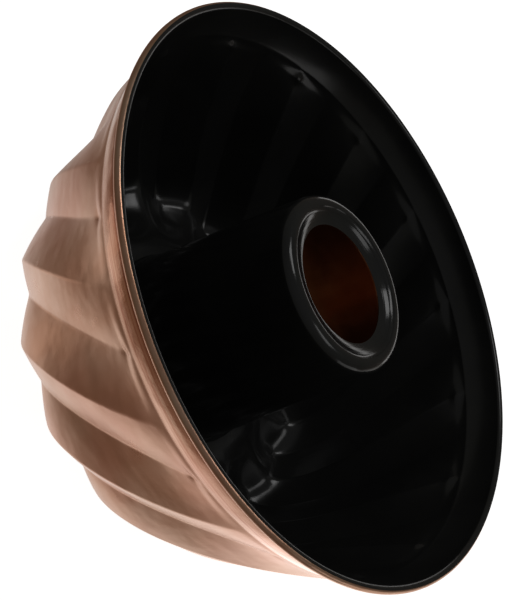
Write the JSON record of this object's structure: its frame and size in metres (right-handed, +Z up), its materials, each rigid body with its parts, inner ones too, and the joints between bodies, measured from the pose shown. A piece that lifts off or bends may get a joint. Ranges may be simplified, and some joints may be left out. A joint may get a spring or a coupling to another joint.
{
  "type": "bundt pan",
  "caption": "Fluted ring cake pan with swirled sides, a smooth collar under a rolled rim and an open tapered centre tube; copper-coloured outside, black non-stick inside.",
  "frame": {"origin": "centre of the circle of ridge flats that the pan stands on, on the surface under it", "axes": "+Z up out of the open side, along the tube's axis; +X and +Y across, the flutes being alike all round"},
  "size_m": [0.25, 0.25, 0.1072],
  "materials": {
    "shell_finish": "satin rose-copper coating on pressed steel sheet, drawn streaks, darker in the valleys",
    "shell_nonstick": "smooth glossy black baked-on non-stick coating",
    "wire_steel": "bright drawn steel wire, hidden in the rim",
    "tube_finish": "satin rose-copper coating on drawn steel sheet, darker inside the tube",
    "tube_nonstick": "satin-gloss black baked-on non-stick coating"
  },
  "bodies": {
    "root": {"fluted_shell": "shell_finish", "shell_lining": "shell_nonstick", "rim_wire": "wire_steel", "centre_tube": "tube_finish", "tube_lining": "tube_nonstick"}
  },
  "joints": []
}
